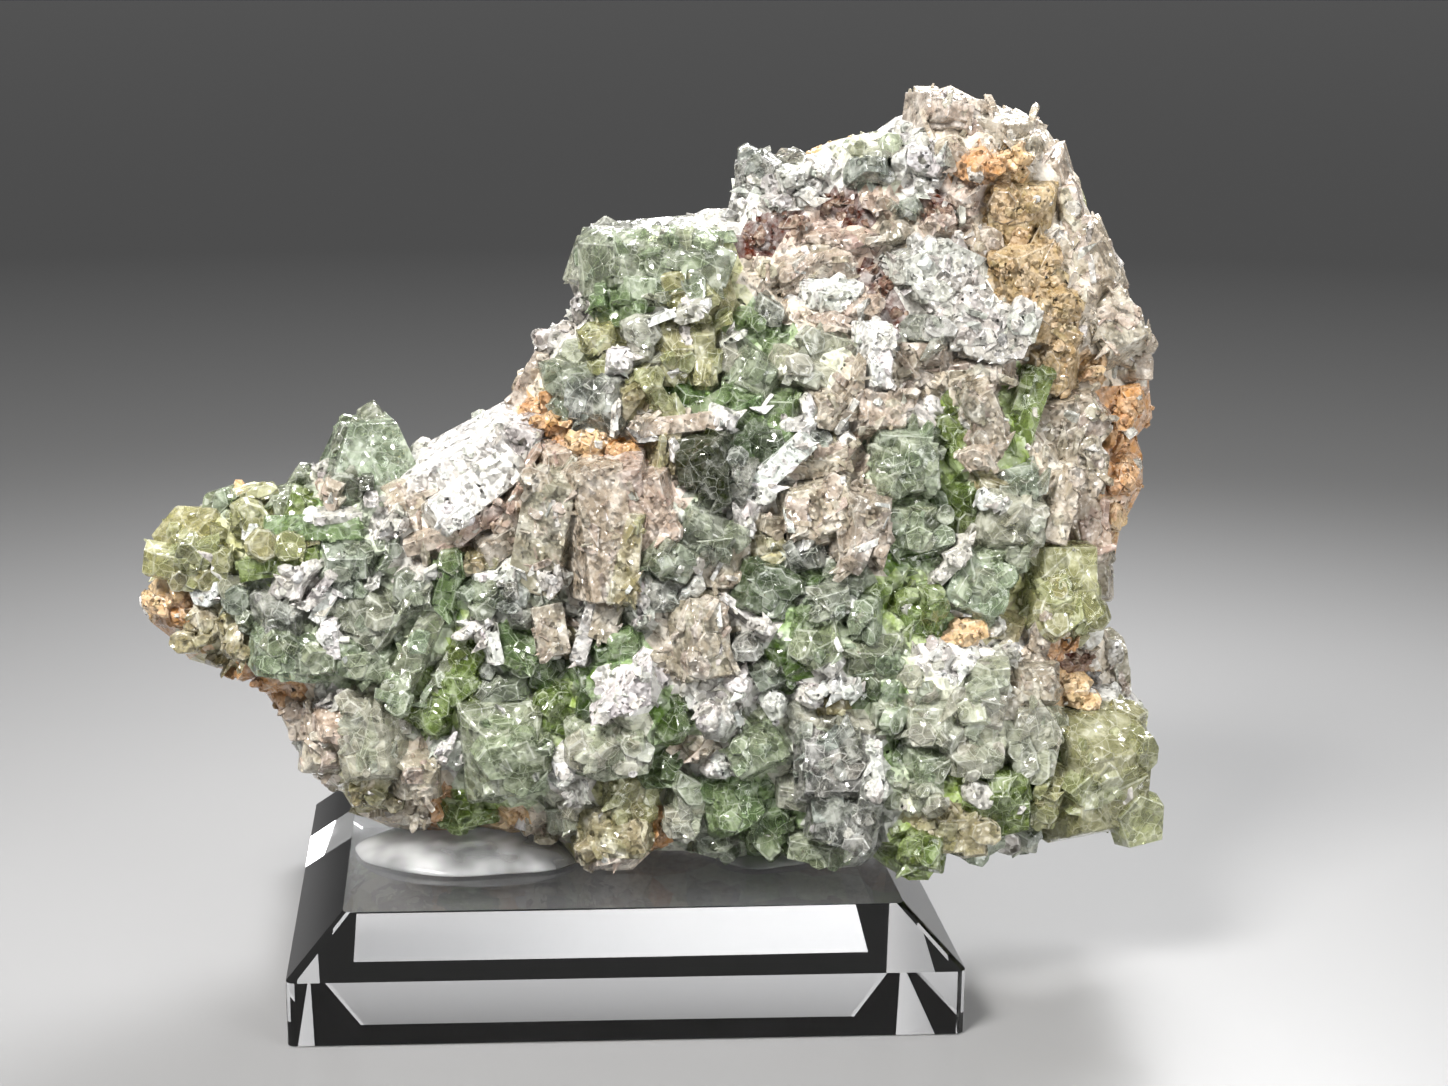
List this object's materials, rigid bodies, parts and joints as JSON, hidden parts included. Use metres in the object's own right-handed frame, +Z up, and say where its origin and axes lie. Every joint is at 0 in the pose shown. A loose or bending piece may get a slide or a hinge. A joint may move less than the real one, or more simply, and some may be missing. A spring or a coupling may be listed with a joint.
{
  "type": "apophyllite with stilbite on acrylic base",
  "caption": "Grown-together mass of pale to deep green apophyllite and white stilbite on tan matrix, fixed with clear gel to a bevelled clear block.",
  "frame": {"origin": "centre of the acrylic base's underside", "axes": "+Z up, -Y towards the specimen's best side, +X to the right seen from there, along the longest extent"},
  "size_m": [0.1433, 0.075, 0.1223],
  "materials": {
    "crystal": "vitreous to pearly crystal faces",
    "acrylic": "polished clear acrylic",
    "gel": "clear soft gel"
  },
  "bodies": {
    "root": {"specimen": "crystal", "acrylic_base": "acrylic", "gel_pad_left": "gel", "gel_pad_right": "gel"}
  },
  "joints": []
}
